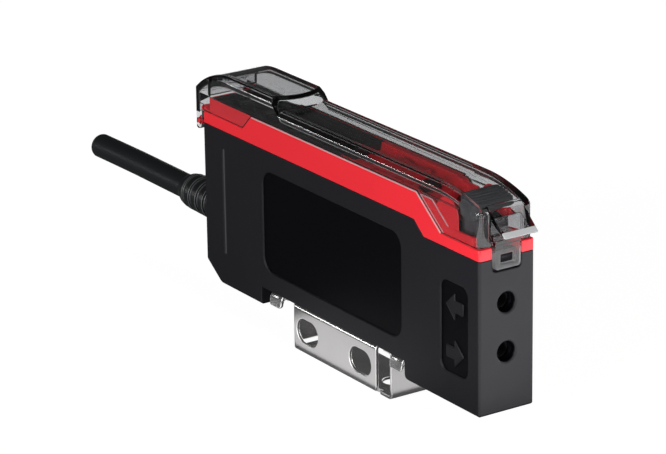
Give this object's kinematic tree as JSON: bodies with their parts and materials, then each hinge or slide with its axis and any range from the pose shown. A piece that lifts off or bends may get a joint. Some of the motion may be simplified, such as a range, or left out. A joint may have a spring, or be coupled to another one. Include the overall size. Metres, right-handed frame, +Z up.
{
  "type": "fibre optic sensor amplifier",
  "caption": "Slim black fibre optic sensor amplifier with a red frame, smoky hinged dust cover, fibre lock lever, moulded cable and folded mounting bracket.",
  "frame": {"origin": "on the standing face of the bracket, under the middle of its top plate and in the middle of the width", "axes": "+X along the housing towards the fibre ports, +Z up to the dust cover, -Y out of the side with the sunk panels"},
  "size_m": [0.1163, 0.0096, 0.0391],
  "materials": {
    "black_plastic": "fine spark-eroded grain",
    "red_plastic": "satin moulded",
    "smoky_clear": "clear smoky polycarbonate",
    "panel_black": "satin moulded",
    "display_red": "tinted window",
    "display_white": "moulded digit frame",
    "board_green": "solder mask",
    "chip_black": "moulded packages",
    "switch_grey": "moulded",
    "key_grey": "satin moulded",
    "lamp_amber": "clear amber",
    "diode_red": "tinted lens",
    "diode_dark": "filter resin",
    "pin_steel": "turned",
    "bracket_steel": "bright nickel plate",
    "cable_black": "matt jacket"
  },
  "bodies": {
    "base": {"housing": "black_plastic", "bezel_frame": "red_plastic", "operator_panel": "panel_black", "display_window": "display_red", "display_module": "display_white", "key_board": "board_green", "main_board": "board_green", "board_components": "chip_black", "tact_switches": "switch_grey", "slide_switches": "switch_grey", "indicator_pipe": "lamp_amber", "emitter_led": "diode_red", "receiver_diode": "diode_dark", "fibre_block": "panel_black", "lever_axle": "pin_steel", "strain_relief": "cable_black", "cable": "cable_black", "bracket": "bracket_steel"},
    "cover": {"dust_cover": "smoky_clear"},
    "lever": {"fibre_lever": "key_grey"},
    "clamp": {"clamp_plate": "pin_steel"},
    "rocker": {"rocker_button": "red_plastic"},
    "set_key": {"set_button": "key_grey"},
    "mode_slider": {"mode_knob": "key_grey"},
    "output_slider": {"output_knob": "key_grey"}
  },
  "joints": [
    {"name": "cover_hinge", "type": "hinge", "parent": "base", "child": "cover", "pos_m": [-0.03675, 0, 0.02995], "axis": [0, -1, 0], "range_deg": [0, 110]},
    {"name": "lever_swing", "type": "hinge", "parent": "base", "child": "lever", "pos_m": [0.0306, 0, 0.02685], "axis": [0, -1, 0], "range_deg": [0, 30]},
    {"name": "clamp_slide", "type": "slide", "parent": "base", "child": "clamp", "axis": [0, 0, -1], "range_m": [0, 0.0005]},
    {"name": "rocker_tilt", "type": "hinge", "parent": "base", "child": "rocker", "pos_m": [0.0118, 0, 0.0326], "axis": [0, 1, 0], "range_deg": [-4, 4], "stiffness_Nm_per_rad": 0.05},
    {"name": "set_press", "type": "slide", "parent": "base", "child": "set_key", "axis": [0, 0, -1], "range_m": [0, 0.0004], "stiffness_N_per_m": 400},
    {"name": "mode_slide", "type": "slide", "parent": "base", "child": "mode_slider", "axis": [1, 0, 0], "range_m": [0, 0.0016]},
    {"name": "output_slide", "type": "slide", "parent": "base", "child": "output_slider", "axis": [1, 0, 0], "range_m": [0, 0.0016]}
  ],
  "couplings": [
    {"joint": "lever_swing", "follows": "clamp_slide", "rad_per_m": 1047.2}
  ]
}
